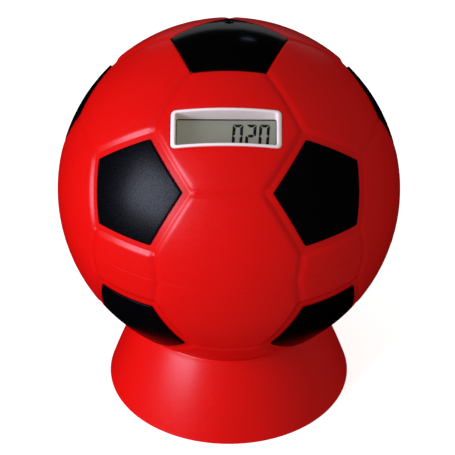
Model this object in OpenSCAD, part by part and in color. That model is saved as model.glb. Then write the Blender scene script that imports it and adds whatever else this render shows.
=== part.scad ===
// Coin-counting bank in the shape of a football, resting on a flared stand.
// The front is -Y, up is +Z, and the origin is the centre of the stand's foot.
// Azimuths turn from the front towards +X, and latitudes rise from the ball's equator.

/* [Ball] */
// Diameter of the ball across its red panels
ball_d = 165; // [160:1:175]
// Height of the ball's centre above the table
ball_z = 109.6; // [106:0.2:112]
// Thickness of the two half shells
wall = 2.8; // [2.6:0.1:3.2]
// Depth of the flat-floored recess that holds a black panel
pocket_depth = 1; // [0.8:0.1:1.2]
// Angle from the middle of a glued black panel to its corners, seen from the ball's centre
panel_angle = 17.6; // [16:0.1:18.5]
// Width of the valley between two red panels
seam_w = 3.6; // [2.4:0.1:4.4]
// Depth of the valley between two red panels
seam_depth = 0.6; // [0.3:0.1:0.8]

/* [Stand] */
// Diameter of the stand where it meets the table
stand_d = 122.6; // [116:0.2:126]
// Diameter of the stand at its upper rim
rim_d = 90; // [84:1:92]
// Thickness of the stand's skirt
stand_wall = 2.4; // [2:0.1:3]
// How far the skirt bulges outwards from a straight cone
stand_bulge = 0.9; // [0.3:0.1:1.5]

/* [Display] */
// Width of the white bezel
bezel_w = 49.2; // [47:0.2:50]
// Height of the white bezel
bezel_h = 18; // [17:0.2:18.6]
// Width of the viewing opening
view_w = 44.8; // [42:0.2:45]
// Height of the viewing opening
view_h = 15.2; // [13:0.2:15.4]
// Depth of the display's window below the ball's surface
view_depth = 11; // [10.5:0.1:12]
// How far the display sits from the middle of its panel
display_x = -0.8; // [-1:0.1:0]

/* [Coins] */
// Length of the coin slot
slot_l = 30; // [28:0.5:30]
// Width of the coin slot
slot_t = 3.4; // [3.2:0.1:3.6]
// Diameter of the hole that the stopper closes
outlet_d = 42; // [38:1:44]

/* [Hidden] */

$fn = 96;
ball_r = ball_d / 2;
inner_r = ball_r - wall;
reach = ball_r * 1.2;
gap = 0.3;
past = 1;

// Lay-out of the panels: an icosahedron's corners carry the black ones
sides = [0 : 4];
corner_gap = atan(2);
side_lat = 90 - corner_gap;
corner_angle = atan2(sin(corner_gap), 2 + cos(corner_gap));
hex_lat = atan2(1 + 2 * sin(side_lat), 2 * cos(side_lat) * cos(36));
waist_azimuth = 13.5;
seam_floor = 0.5;
slot_azimuth = -144;

// Stand, whose rolled rim clears the ball by the gap
rim_r = stand_wall / 2;
rim_x = rim_d / 2 - rim_r;
stand_rise = ball_z - sqrt(pow(ball_r + rim_r + gap, 2) - pow(rim_x, 2));
skirt_lean = atan2((stand_d - rim_d) / 2, stand_rise);
foot_w = 4.5;
foot_h = 2;

// Joint between the half shells
lap_t = 1.4;
lap_h = 3;
lap_play = 0.2;
screw_ring_r = ball_r - 8.5;
boss_r = 3.6;
head_seat_z = -9;
shell_screw_l = 19;

// Stopper
outlet_r = outlet_d / 2;
flange_step = 3.2;
collar_r = outlet_r + 5.5;
collar_floor = -(ball_r - 4.9);
collar_h = 5.6;

// Display stack, measured along the axis of the front red panel
view_z = ball_r - view_depth;
plate_w = 66;
plate_h = 21;
plate_round = 4;
window_t = 1.2;
lcd_t = 2;
carrier_t = 3.6;
board_t = 1.6;
lcd_w = 47.4;
lcd_h = 19;
strip_y = -8;
display_screw_x = 29.5;
display_screw_y = 6.5;
carrier_z = view_z - window_t - carrier_t;
board_z = carrier_z - board_t;

// Battery compartment under the top panel
cover_angle = 20.35;
opening_angle = 17.5;
cover_t = 1.4;
tray_z = ball_r - 18;
tray_floor_t = 1.5;
tray_r = 26;
tray_inner_r = 24.2;
cover_screw_y = 19;
cover_head_z = ball_r - 6.5;
cover_well_r = 2.1;
cell_r = 5.8;
cell_h = 5.4;
cell_x = 7;
cell_y = -6;
reset_y = 8;

// Coin chute and its sensing lever, measured along the axis of the slot's red panel
side_x = slot_l / 2;
half_t = slot_t / 2;
rib = 1.6;
chute_z = ball_r - 38;
housing_x = side_x + 19;
housing_z = ball_r - 33.5;
housing_top = ball_r - 11.5;
pivot_x = side_x + 6;
pivot_z = ball_r - 16.5;
nose_x = -12;
nose_z = -6;
pin_r = 1;
ear_x = [-side_x - 6.5, side_x + 22.5];
ear_z = [ball_r - 12.5, ball_r - 20.5];
ear_screw_l = 5.6;
post_h = 5;
cover_post_x = side_x + 4.5;
board_post = [side_x + 15.5, housing_z + 4.5];

// Leads, as points from the ball's centre
lead_r = 0.6;
battery_lead = [[7, -6, 64.2], [7, -7, 61.5], [6.5, -20, 58], [5.5, -29, 53.5], [5.5, -31, 54.6],
    [5.5, -32.7, 56.8]];
sensor_lead = [[-38.2, 8.3, 43.1], [-37.1, 6.7, 44.6], [-38, -4, 44], [-36, -20, 43], [-29, -34, 46],
    [-27.5, -36.5, 47.9], [-27.5, -39.3, 51.6]];
lead_step = [-0.47, -1.22, -0.93];

function dir(az, lat) = [cos(lat) * sin(az), -cos(lat) * cos(az), sin(lat)];
function unit(v) = v / norm(v);
function side_dir(k) = dir(36 + 72 * k, side_lat);
function third(a, b) = unit(2 * a + b);

function round_rect(w, h, r) = [
    for (q = [0 : 3], a = [0 : 15 : 90])
        [(q == 0 || q == 3 ? 1 : -1) * (w / 2 - r) + r * cos(90 * q + a),
         (q < 2 ? 1 : -1) * (h / 2 - r) + r * sin(90 * q + a)]
];

// ---------- shared shapes ----------

module in_ball() translate([0, 0, ball_z]) children();

module facing(az, lat) rotate([0, 0, az]) rotate([90 - lat, 0, 0]) children();

module on_display_axis() facing(0, hex_lat) translate([display_x, 0, 0]) children();

module at_display() in_ball() on_display_axis() children();

module at_slot() in_ball() facing(slot_azimuth, hex_lat) children();

module block(x, y, z) translate([x[0], y[0], z[0]]) cube([x[1] - x[0], y[1] - y[0], z[1] - z[0]]);

module rod(r, z0, z1) translate([0, 0, z0]) cylinder(r = r, h = z1 - z0);

module cross_rod(r, x, z, y0, y1) translate([x, y1, z]) rotate([90, 0, 0]) cylinder(r = r, h = y1 - y0);

module round_block(w, h, r, z0, z1)
    translate([0, 0, z0]) linear_extrude(z1 - z0) polygon(round_rect(w, h, r));

// Five-sided cone from the ball's centre, with one corner towards +Y
module wedge(angle) {
    polyhedron(
        points = concat([[0, 0, 0]],
            [for (k = sides) reach * [sin(angle) * cos(90 + 72 * k), sin(angle) * sin(90 + 72 * k), cos(angle)]]),
        faces = concat([[5, 4, 3, 2, 1]], [for (k = sides) [0, 1 + k, 1 + (k + 1) % 5]])
    );
}

module prism(r, z0, z1) rotate([0, 0, 90]) translate([0, 0, z0]) cylinder(r = r, h = z1 - z0, $fn = 5);

module at_side(k) facing(36 + 72 * k, side_lat) children();

module ball_layer(r_out, r_in) difference() {
    sphere(r = r_out);
    sphere(r = r_in);
}

// Screw with its head's underside at the origin, its shank along +Z and a cross recess
module screw(shank_r, shank_l, head_r, head_h) {
    difference() {
        rod(head_r, -head_h, 0);
        block([-head_r * 0.6, head_r * 0.6], [-0.3, 0.3], [-head_h - past, -head_h * 0.4]);
        block([-0.3, 0.3], [-head_r * 0.6, head_r * 0.6], [-head_h - past, -head_h * 0.4]);
    }
    rod(shank_r, -head_h * 0.2, shank_l);
}

// Shallow valley along a great circle between two directions
module seam(from, to) {
    along = unit(to - from);
    out = unit(to + from);
    across = cross(out, along);
    span = 2 * asin(norm(to - from) / 2) + 1;
    rise = 1 + past / seam_depth;
    multmatrix([
        [along[0], across[0], out[0], 0],
        [along[1], across[1], out[1], 0],
        [along[2], across[2], out[2], 0],
        [0, 0, 0, 1]
    ])
        rotate([90, 0, 0]) rotate([0, 0, 90 - span / 2]) rotate_extrude(angle = span)
            polygon([
                [ball_r - seam_depth, -seam_floor / 2],
                [ball_r + past, -seam_w / 2 * rise],
                [ball_r + past, seam_w / 2 * rise],
                [ball_r - seam_depth, seam_floor / 2]
            ]);
}

// Eight-sided tube of radius r along a list of points
module tube(path, r) {
    last = len(path) - 1;
    turns = [for (k = [0 : 7]) 45 * k];
    ahead = [for (i = [0 : last]) unit(path[min(i + 1, last)] - path[max(i - 1, 0)])];
    aside = [for (a = ahead) unit(cross(a, abs(a[0]) < 0.8 ? [1, 0, 0] : [0, 1, 0]))];
    polyhedron(
        points = [for (i = [0 : last], t = turns)
            path[i] + r * (cos(t) * aside[i] + sin(t) * cross(ahead[i], aside[i]))],
        faces = concat(
            [[for (k = [0 : 7]) k]],
            [[for (k = [7 : -1 : 0]) 8 * last + k]],
            [for (i = [0 : last - 1], k = [0 : 7])
                [8 * i + k, 8 * i + 8 + k, 8 * i + 8 + (k + 1) % 8, 8 * i + (k + 1) % 8]]
        )
    );
}

// ---------- stand ----------

// One wall of the stand's skirt, as a gentle arc from the foot up to the rim
function skirt(inset) = [
    for (i = [0 : 12])
        let (t = i / 12, push = 4 * stand_bulge * t * (1 - t) - inset)
        [stand_d / 2 + (rim_d - stand_d) / 2 * t + push * cos(skirt_lean),
         stand_rise * t + push * sin(skirt_lean)]
];

module stand() color("#d80b08") {
    outer = skirt(0);
    inner = skirt(stand_wall);
    rotate_extrude($fn = 128) union() {
        difference() {
            polygon(concat(outer, [for (i = [12 : -1 : 0]) inner[i]]));
            translate([0, -10]) square([stand_d, 10]);
        }
        translate([rim_x, stand_rise]) circle(r = rim_r);
        translate([stand_d / 2 - foot_w, 0]) square([foot_w - 0.6, foot_h]);
    }
}

// ---------- ball shells ----------

module half_shell() {
    difference() {
        ball_layer(ball_r, inner_r);
        block([-reach, reach], [-reach, reach], [-reach, 0]);
        for (k = sides) {
            at_side(k) difference() {
                wedge(corner_angle);
                sphere(r = ball_r - pocket_depth);
            }
            seam(third([0, 0, 1], side_dir(k)), third(side_dir(k), [0, 0, 1]));
            seam(third(side_dir(k), side_dir(k + 1)), third(side_dir(k + 1), side_dir(k)));
            for (s = [-1, 1])
                seam(third(side_dir(k), dir(36 + 72 * k + 36 * s, -side_lat)),
                    dir(36 + 72 * k + waist_azimuth * s, 0));
        }
    }
}

// Screw posts round the equator, and the ribs that tie them to the wall
module equator_posts(z0, z1, rib_z) intersection() {
    for (k = sides) rotate([0, 0, 36 + 72 * k]) {
        translate([0, -screw_ring_r, 0]) rod(boss_r, z0, z1);
        block([-rib / 2, rib / 2], [-ball_r, -screw_ring_r - 2], rib_z);
    }
    sphere(r = inner_r + 0.8);
}

module equator_holes(r, z0, z1)
    for (k = sides) rotate([0, 0, 36 + 72 * k]) translate([0, -screw_ring_r, 0]) rod(r, z0, z1);

module at_display_screws()
    for (x = [-1, 1], y = [-1, 1]) translate([x * display_screw_x, y * display_screw_y, 0]) children();

module upper_shell() color("#d80b08") in_ball() difference() {
    union() {
        half_shell();
        // Skirt that locates the lower half
        rotate_extrude() polygon([
            [inner_r - lap_play - lap_t, -lap_h], [inner_r - lap_play, -lap_h],
            [inner_r - lap_play, 0], [inner_r + 0.8, 0],
            [inner_r + 0.8, lap_h], [inner_r - lap_play - lap_t, lap_h]
        ]);
        equator_posts(0, 14, [lap_h, 14]);
        // Posts for the display and the coin chute
        intersection() {
            union() {
                on_display_axis() at_display_screws() rod(3, view_z, ball_r);
                facing(slot_azimuth, hex_lat)
                    for (i = [0, 1]) translate([ear_x[i], -0.8, 0]) rod(3, ear_z[i] + 2, ball_r);
            }
            sphere(r = inner_r + 0.8);
        }
    }
    equator_holes(1.25, -past, 12);
    // Opening and step for the battery cover
    wedge(opening_angle);
    difference() {
        wedge(cover_angle + 0.25);
        sphere(r = ball_r - cover_t - gap);
    }
    on_display_axis() {
        round_block(bezel_w + 2 * 0.15, bezel_h + 2 * 0.15, 2.6, view_z, reach);
        at_display_screws() rod(1.1, view_z - past, view_z + 3.2);
    }
    facing(slot_azimuth, hex_lat) {
        block([-side_x, side_x], [-half_t, half_t], [inner_r - 10, reach]);
        for (i = [0, 1]) translate([ear_x[i], -0.8, 0]) rod(1.1, ear_z[i], ear_z[i] + ear_screw_l + 0.4);
    }
}

module lower_shell() color("#d80b08") in_ball() difference() {
    union() {
        mirror([0, 0, 1]) half_shell();
        equator_posts(-ball_r, -0.4, [-30, -lap_h - past]);
        // Collar round the coin outlet
        intersection() {
            rod(collar_r, -ball_r, collar_floor + collar_h);
            sphere(r = ball_r - 0.5);
        }
    }
    equator_holes(1.6, -ball_r, past);
    equator_holes(2.7, -ball_r, head_seat_z);
    rod(outlet_r, -reach, 0);
    rod(outlet_r + flange_step, -reach, collar_floor);
}

module shell_screws() color("#b9bcc0") in_ball()
    for (k = sides) rotate([0, 0, 36 + 72 * k]) translate([0, -screw_ring_r, head_seat_z])
        screw(1.2, shell_screw_l, 2.5, 1.8);

// Glued black panel, a five-sided piece of the ball's skin
module side_panel(k) color("#17181a") intersection() {
    at_side(k) wedge(panel_angle);
    ball_layer(ball_r - 0.1, ball_r - pocket_depth);
}

module upper_panel(i) in_ball() side_panel(i - 1);

module lower_panel(i) in_ball() mirror([0, 0, 1]) side_panel(i - 1);

// ---------- display ----------

module display_bezel() color("#f2f2f0") at_display() difference() {
    union() {
        intersection() {
            translate([-display_x, 0, 0]) sphere(r = ball_r + 0.4);
            round_block(bezel_w, bezel_h, 2.5, view_z, reach);
        }
        round_block(plate_w, plate_h, plate_round, view_z - window_t, view_z);
    }
    round_block(view_w, view_h, 1.2, view_z - 5, reach);
    round_block(lcd_w, view_h + 2, 0.8, view_z - 5, view_z);
    at_display_screws() rod(1.25, view_z - 5, view_z + past);
}

module display_window() color("#e6eef2", 0.35) at_display()
    round_block(lcd_w - 0.2, view_h + 1.8, 0.7, view_z - window_t, view_z);

module lcd_panel() color("#9aa392") at_display()
    block([-lcd_w / 2, lcd_w / 2], [-lcd_h / 2, lcd_h / 2], [view_z - window_t - lcd_t, view_z - window_t]);

module display_carrier() color("#e8e8e4") at_display() difference() {
    round_block(plate_w, plate_h, plate_round, carrier_z, carrier_z + carrier_t);
    block([-lcd_w / 2 - 0.1, lcd_w / 2 + 0.1], [-lcd_h / 2 - 0.1, lcd_h / 2 + 0.1],
        [view_z - window_t - lcd_t, view_z]);
    block([-22.5, 22.5], [strip_y - 1.1, strip_y + 1.1], [carrier_z - past, view_z]);
    at_display_screws() rod(1.25, carrier_z - past, view_z);
}

module contact_strip() color("#d98f8f") at_display()
    block([-22.3, 22.3], [strip_y - 0.9, strip_y + 0.9], [carrier_z, view_z - window_t - lcd_t]);

module main_board() color("#2f6b3c") at_display() difference() {
    union() {
        round_block(plate_w, plate_h, plate_round, board_z, board_z + board_t);
        // Sealed chip, quartz can and two capacitors on the back
        translate([-4, 0, 0]) rod(6, board_z - 1.3, board_z + 0.5);
        block([8, 14], [-5, -3], [board_z - 2, board_z + 0.5]);
        translate([10, 4, 0]) rod(1.8, board_z - 4, board_z + 0.5);
        translate([16, 4, 0]) rod(1.8, board_z - 4, board_z + 0.5);
    }
    at_display_screws() rod(1.25, board_z - past, view_z);
}

module display_screws() color("#b9bcc0") at_display()
    at_display_screws() translate([0, 0, board_z]) screw(1, view_z + 2.6 - board_z, 2, 1.4);

// ---------- battery compartment ----------

module battery_tray() color("#1f2022") in_ball() difference() {
    union() {
        difference() {
            intersection() {
                prism(tray_r, tray_z, ball_r);
                sphere(r = inner_r - 0.05);
            }
            prism(tray_inner_r, tray_z + tray_floor_t, reach);
        }
        for (s = [-1, 1]) {
            translate([s * cell_x, cell_y, 0]) rod(cell_r + 1.4, tray_z, tray_z + tray_floor_t + 3);
            // Legs that clasp the reset switch
            block([s * 3.9 - 0.8, s * 3.9 + 0.8], [reset_y - 3, reset_y + 3], [tray_z - 6, tray_z + 0.5]);
        }
        translate([0, cover_screw_y, 0]) rod(3.2, tray_z, ball_r - 8.1);
    }
    for (s = [-1, 1]) translate([s * cell_x, cell_y, 0]) rod(cell_r + 0.15, tray_z + tray_floor_t, reach);
    translate([0, cover_screw_y, 0]) rod(1.2, tray_z + past, reach);
    translate([0, reset_y, 0]) rod(2.1, tray_z - past, reach);
}

// Leaf under each cell, and the clip against its rim
module cell_contacts() color("#c9cdd2") in_ball() for (s = [-1, 1]) {
    translate([s * cell_x, cell_y, 0]) rod(3.5, tray_z + tray_floor_t, tray_z + tray_floor_t + 0.4);
    block([s * (cell_x + cell_r + 2) - 0.2, s * (cell_x + cell_r + 2) + 0.2], [cell_y - 3, cell_y + 3],
        [tray_z + tray_floor_t, tray_z + tray_floor_t + 6]);
}

module button_cell(side) color("#cfd2d4") in_ball() translate([side * cell_x, cell_y, 0]) {
    rod(cell_r, tray_z + tray_floor_t + 1.2, tray_z + tray_floor_t + 0.4 + cell_h);
    rod(cell_r - 1, tray_z + tray_floor_t + 0.4, tray_z + tray_floor_t + 1.3);
}

module battery_wires() color("#b02a22") in_ball() for (s = [-1, 1])
    tube([for (p = battery_lead) [s * p[0], p[1], p[2]] * ball_r / 82.5], lead_r);

module reset_switch() color("#26282b") in_ball() translate([0, reset_y, 0]) {
    block([-3, 3], [-3, 3], [tray_z - 6, tray_z - 2.5]);
    rod(1.6, tray_z - 2.6, tray_z - 1.9);
}

module reset_button() color("#c9302a") in_ball() translate([0, reset_y, 0]) {
    rod(2.8, tray_z - 0.3 - 0.9, tray_z - 0.3);
    rod(2, tray_z - 0.4, tray_z + 3.5);
}

module battery_cover() color("#0e0f10") in_ball() difference() {
    union() {
        intersection() {
            wedge(cover_angle);
            ball_layer(ball_r, ball_r - cover_t);
        }
        intersection() {
            difference() {
                wedge(opening_angle - 0.6);
                wedge(opening_angle - 2);
            }
            ball_layer(ball_r - cover_t / 2, ball_r - 4.2);
        }
        intersection() {
            translate([0, cover_screw_y, 0]) rod(3.7, cover_head_z - 1.4, ball_r);
            sphere(r = ball_r - cover_t / 2);
        }
    }
    translate([0, cover_screw_y, 0]) {
        rod(cover_well_r, cover_head_z, reach);
        rod(1.35, cover_head_z - 5, reach);
    }
}

module cover_screw() color("#b9bcc0") in_ball()
    translate([0, cover_screw_y, cover_head_z + 0.05]) mirror([0, 0, 1]) screw(1.1, 8, cover_well_r - 0.25, 1.6);

// ---------- coin chute ----------

module inside_shell() intersection() {
    children();
    sphere(r = inner_r - 0.1);
}

module coin_chute() color("#e4e2dc") at_slot() difference() {
    inside_shell() union() {
        block([-side_x - rib, side_x + rib], [-half_t - rib, half_t], [chute_z, reach]);
        block([side_x, housing_x], [-half_t - rib, half_t], [housing_z, housing_top]);
        // Blocks for the cover's screws and ears for the shell's screws
        for (s = [-1, 1])
            block([s * cover_post_x - 3, s * cover_post_x + 3], [-half_t - rib, half_t], [chute_z, chute_z + post_h]);
        block([ear_x[0] - 3, -side_x], [-half_t - rib, half_t], [ear_z[0], ear_z[0] + 2]);
        block([housing_x - 1, ear_x[1] + 3], [-half_t - rib, half_t], [ear_z[1], ear_z[1] + 2]);
    }
    block([-side_x, side_x], [-half_t, half_t + past], [chute_z - past, reach]);
    // Room for the lever, and the window that its nose comes through
    difference() {
        block([side_x + rib, housing_x - rib], [-half_t, half_t + past], [housing_z + rib, housing_top - rib]);
        cross_rod(2.2, board_post[0], board_post[1], -half_t - past, half_t);
    }
    block([side_x - past, side_x + rib + past], [-half_t, half_t + past], [housing_z + 2.5, housing_top - 3.5]);
    cross_rod(pin_r + 0.02, pivot_x, pivot_z, -half_t - rib - past, 0);
    cross_rod(0.95, board_post[0], board_post[1], -half_t, half_t + past);
    for (s = [-1, 1]) cross_rod(0.95, s * cover_post_x, chute_z + 2.5, -half_t, half_t + past);
    for (i = [0, 1]) translate([ear_x[i], -0.8, 0]) rod(1.25, ear_z[i] - past, ear_z[i] + 3);
}

module chute_cover() color("#e4e2dc") at_slot() difference() {
    inside_shell() union() {
        block([-side_x - rib, side_x + rib], [half_t, half_t + rib], [chute_z, reach]);
        for (s = [-1, 1])
            block([s * cover_post_x - 3, s * cover_post_x + 3], [half_t, half_t + rib],
                [chute_z, chute_z + post_h - 0.4]);
    }
    for (s = [-1, 1]) cross_rod(1.1, s * cover_post_x, chute_z + 2.5, 0, half_t + rib + past);
}

module sensor_board() color("#2f6b3c") at_slot() difference() {
    block([side_x + rib + 0.2, housing_x - 0.2], [half_t, half_t + 1.2], [housing_z + 0.2, housing_top - 0.2]);
    cross_rod(pin_r + 0.1, pivot_x, pivot_z, 0, half_t + rib + past);
    cross_rod(1.1, board_post[0], board_post[1], 0, half_t + rib + past);
}

module chute_screws() color("#b9bcc0") at_slot() {
    for (s = [-1, 1]) translate([s * cover_post_x, half_t + rib, chute_z + 2.5])
        rotate([90, 0, 0]) screw(0.9, slot_t + 0.5, 1.7, 1.2);
    translate([board_post[0], half_t + 1.2, board_post[1]]) rotate([90, 0, 0]) screw(0.9, slot_t, 1.7, 1.2);
    for (i = [0, 1]) translate([ear_x[i], -0.8, ear_z[i]]) screw(1, ear_screw_l, 2, 1.4);
}

module sensor_wires() color("#3a3a3c") in_ball() for (i = [0, 1])
    tube([for (p = sensor_lead) (p + lead_step * i) * ball_r / 82.5], lead_r);

module lever_pin() color("#c9cdd2") at_slot() cross_rod(pin_r, pivot_x, pivot_z, -half_t - rib, half_t + 1.2);

// Return spring: two and a half turns round the pin, on the floor side of the lever
module lever_spring() color("#c9cdd2") at_slot() translate([pivot_x, 0, pivot_z])
    tube([for (a = [0 : 30 : 900]) [1.8 * cos(a), -half_t + 0.2 + 0.36 * a / 360, 1.8 * sin(a)]], 0.14);

module arm(length, angle, w, y0, y1) rotate([0, -angle, 0]) block([0, length], [y0, y1], [-w / 2, w / 2]);

module coin_lever() color("#f0efe9") at_slot() translate([pivot_x, 0, pivot_z]) difference() {
    union() {
        cross_rod(2.8, 0, 0, -0.5, 1.1);
        arm(norm([nose_x, nose_z]), atan2(nose_z, nose_x), 2.4, -0.5, 1.1);
        cross_rod(1.6, nose_x, nose_z, -0.5, 1.1);
        arm(8, -40, 3, -0.5, 1.1);
    }
    cross_rod(pin_r + 0.06, 0, 0, -5, 5);
}

module lever_wiper() color("#c8912f") at_slot() translate([pivot_x, 0, pivot_z])
    rotate([0, 40, 0]) block([4, 7.6], [1.1, half_t - 0.25], [-1.1, 1.1]);

// ---------- stopper ----------

module coin_stopper() color("#1b1c1e") in_ball() difference() {
    union() {
        intersection() {
            rod(outlet_r + flange_step - 0.4, -ball_r, collar_floor - gap);
            sphere(r = ball_r);
        }
        rod(outlet_r - 0.1, collar_floor - past, collar_floor + collar_h + 0.6);
    }
    rod(outlet_r - 3, collar_floor + 1.6, 0);
    // Finger recess with a bar across it
    difference() {
        rod(12, -reach, collar_floor - past);
        block([-2, 2], [-12, 12], [-ball_r, 0]);
    }
}

// ---------- the assembly ----------

stand();
upper_shell();
lower_shell();
shell_screws();
for (i = [1 : 5]) {
    upper_panel(i);
    lower_panel(i);
}
display_bezel();
display_window();
lcd_panel();
contact_strip();
display_carrier();
main_board();
display_screws();
battery_tray();
cell_contacts();
button_cell(-1);  // button_cell_1
button_cell(1);  // button_cell_2
battery_wires();
reset_switch();
reset_button();
coin_chute();
chute_cover();
chute_screws();
sensor_board();
sensor_wires();
lever_pin();
lever_spring();
coin_lever();
lever_wiper();
battery_cover();
cover_screw();
coin_stopper();
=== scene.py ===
import math

import bmesh
import bpy
import numpy as np
from mathutils import Matrix, Vector


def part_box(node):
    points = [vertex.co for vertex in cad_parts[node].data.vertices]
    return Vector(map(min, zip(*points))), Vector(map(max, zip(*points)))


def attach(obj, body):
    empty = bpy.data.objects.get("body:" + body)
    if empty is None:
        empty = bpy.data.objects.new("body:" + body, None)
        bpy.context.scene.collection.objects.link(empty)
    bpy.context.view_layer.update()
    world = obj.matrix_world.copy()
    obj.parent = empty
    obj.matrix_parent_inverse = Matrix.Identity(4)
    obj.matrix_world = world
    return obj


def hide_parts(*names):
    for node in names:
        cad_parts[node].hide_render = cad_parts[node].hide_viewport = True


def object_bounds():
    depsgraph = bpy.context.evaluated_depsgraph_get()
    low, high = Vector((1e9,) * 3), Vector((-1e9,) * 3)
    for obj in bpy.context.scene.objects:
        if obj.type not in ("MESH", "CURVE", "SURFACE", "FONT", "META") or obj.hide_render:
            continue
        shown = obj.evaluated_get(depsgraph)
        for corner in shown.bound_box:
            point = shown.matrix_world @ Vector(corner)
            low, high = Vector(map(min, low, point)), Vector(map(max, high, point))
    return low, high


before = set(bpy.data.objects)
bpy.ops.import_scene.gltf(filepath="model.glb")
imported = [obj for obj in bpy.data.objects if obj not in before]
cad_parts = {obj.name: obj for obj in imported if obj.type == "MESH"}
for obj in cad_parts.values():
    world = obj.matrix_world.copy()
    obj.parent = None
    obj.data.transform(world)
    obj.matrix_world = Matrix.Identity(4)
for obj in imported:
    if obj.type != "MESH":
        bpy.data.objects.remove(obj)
cad_low, cad_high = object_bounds()

# ---------------------------------------------------------------- camera
# The bank is looked at from a little above its display, from about ten ball radii away, so the
# stand's foot and the top panel both show. The camera is level and keeps no shift.
ball_centre = Vector((0, 0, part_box("lower_shell")[1].z))
ball_reach = (cad_high.y - cad_low.y) / 2
look_down = math.radians(34.4)
look_back = Vector((0.0079, -math.cos(look_down), math.sin(look_down))).normalized()
look_right = Vector((1, 0.0096, 0)).normalized()
look_up = look_back.cross(look_right)
camera_data = bpy.data.cameras.new("camera")
camera_data.sensor_width = 36
camera_data.lens = 138.84
camera = bpy.data.objects.new("camera", camera_data)
bpy.context.collection.objects.link(camera)
camera.matrix_world = Matrix.Translation(
    ball_centre + ball_reach * (look_back * 10.29 - look_right * 0.008 - look_up * 0.227)
) @ Matrix((look_right, look_up, look_back)).transposed().to_4x4()
bpy.context.scene.camera = camera


# ---------------------------------------------------------------- studio
# A plain pale table under a white sky, with one tall window of soft daylight on the left and a
# weaker strip behind. The sky and the table only shade, so black parts stay black.
def linear(colour):
    """Linear red, green, blue and alpha of an sRGB hex value."""
    parts = [int(colour[i:i + 2], 16) / 255 for i in (1, 3, 5)]
    return [c / 12.92 if c <= 0.04045 else ((c + 0.055) / 1.055) ** 2.4 for c in parts] + [1]


def add(tree, kind, settings=(), inputs=(), links=()):
    """One node with its settings, its plain input values and its links."""
    node = tree.nodes.new(kind)
    for name, value in dict(settings).items():
        setattr(node, name, value)
    for name, value in dict(inputs).items():
        node.inputs[name].default_value = value
    for name, source in dict(links).items():
        tree.links.new(source, node.inputs[name])
    return node


def towards(azimuth, latitude):
    """Unit direction from the ball's centre, azimuth 0 to the front and turning to the right."""
    a, b = math.radians(azimuth), math.radians(latitude)
    return Vector((math.cos(b) * math.sin(a), -math.cos(b) * math.cos(a), math.sin(b)))


def soft_light(name, azimuth, latitude, away, size, watts, colour):
    """A rectangular soft light that faces the ball."""
    data = bpy.data.lights.new(name, "AREA")
    data.shape = "RECTANGLE"
    data.size, data.size_y = size
    data.energy = watts
    data.color = linear(colour)[:3]
    light = bpy.data.objects.new(name, data)
    bpy.context.collection.objects.link(light)
    out = towards(azimuth, latitude)
    turned = out.to_track_quat("Z", "Y").to_matrix().to_4x4()
    light.matrix_world = Matrix.Translation(ball_centre + out * away) @ turned


soft_light("window_light", -53, 18, 1.3, (0.7, 0.6), 18.5, "#dfe4ff")
soft_light("back_strip", 178, 10, 1.6, (1.3, 0.4), 0.45, "#f2f5ff")
soft_light("ceiling_lamp", 173, 31, 1.4, (0.09, 0.05), 0.011, "#d4deff")

sky = bpy.data.worlds.new("sky")
sky.use_nodes = True
sky_light = sky.node_tree.nodes["Background"]
sky_light.inputs["Color"].default_value = linear("#fff5ef")
sky_light.inputs["Strength"].default_value = 0.41
# Seen past the table's edge the sky is plain white paper
paper = add(sky.node_tree, "ShaderNodeBackground", inputs={"Color": linear("#ffffff"), "Strength": 1})
ray = add(sky.node_tree, "ShaderNodeLightPath")
shown = add(sky.node_tree, "ShaderNodeMixShader", links={0: ray.outputs["Is Camera Ray"],
            1: sky_light.outputs["Background"], 2: paper.outputs["Background"]})
sky.node_tree.links.new(shown.outputs["Shader"], sky.node_tree.nodes["World Output"].inputs["Surface"])
sky.cycles_visibility.glossy = False
bpy.context.scene.world = sky
bpy.context.scene.view_settings.view_transform = "Standard"

table_mesh = bpy.data.meshes.new("table")
edge = 6
table_corners = [(-edge, -edge, 0), (edge, -edge, 0), (edge, edge, 0), (-edge, edge, 0)]
table_mesh.from_pydata(table_corners, [], [(0, 1, 2, 3)])
table = bpy.data.objects.new("table", table_mesh)
bpy.context.collection.objects.link(table)
table.visible_glossy = False
table.visible_diffuse = False
table_paint = bpy.data.materials.new("table_paint")
table_paint.use_nodes = True
table_shader = table_paint.node_tree.nodes["Principled BSDF"]
table_shader.inputs["Base Color"].default_value = linear("#f4f4f4")
table_shader.inputs["Roughness"].default_value = 0.9
table_shader.inputs["Emission Color"].default_value = linear("#ffffff")
table_shader.inputs["Emission Strength"].default_value = 0.75
table_mesh.materials.append(table_paint)

# ---------------------------------------------------------------- ball shells
# Two half shells of injection-moulded red ABS, 2.8 mm thick, that meet at the equator and are held
# by five screws from below. Each face panel is a spherical polygon: soft valleys run between the
# red ones, and flat-floored recesses hold the black ones.
mm = 0.001
ball_r = round(ball_reach / mm, 1)
wall = 2.8
inner_r = ball_r - wall
side_latitude = math.degrees(math.atan(0.5))
hex_latitude = 52.62
top_corner = 20.6
display_x = -0.8
waist_azimuth = 13.5
edge_steps = 24
low_tip_angle = 20.08
valley_depth, valley_reach = 0.5, 3.0
crease_depth, crease_reach = 0.12, 0.34
recess_slope = 3.5
recess_depth = 1.0
joint_line, joint_reach = 0.1, 0.32
cover_step = 1.7
cover_mouth_angle = 17.5
screw_circle = 74
boss_r = 3.6
lug_r = 3
outlet_r = 21
flange_seat_r = 24.2
skin_rows = [0, 0.15, 0.32, 0.55, 0.85, 1.2, 1.6, 2.05, 2.6, 3.4, 4.6, 6.5, 9, 12, 16, 20, 25]
recess_rows = [0, 0.12, 0.25, 0.4, 0.6, 1.4, 3.5, 8, 14]


def corner(a, b):
    return (2 * a + b).normalized()


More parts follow.
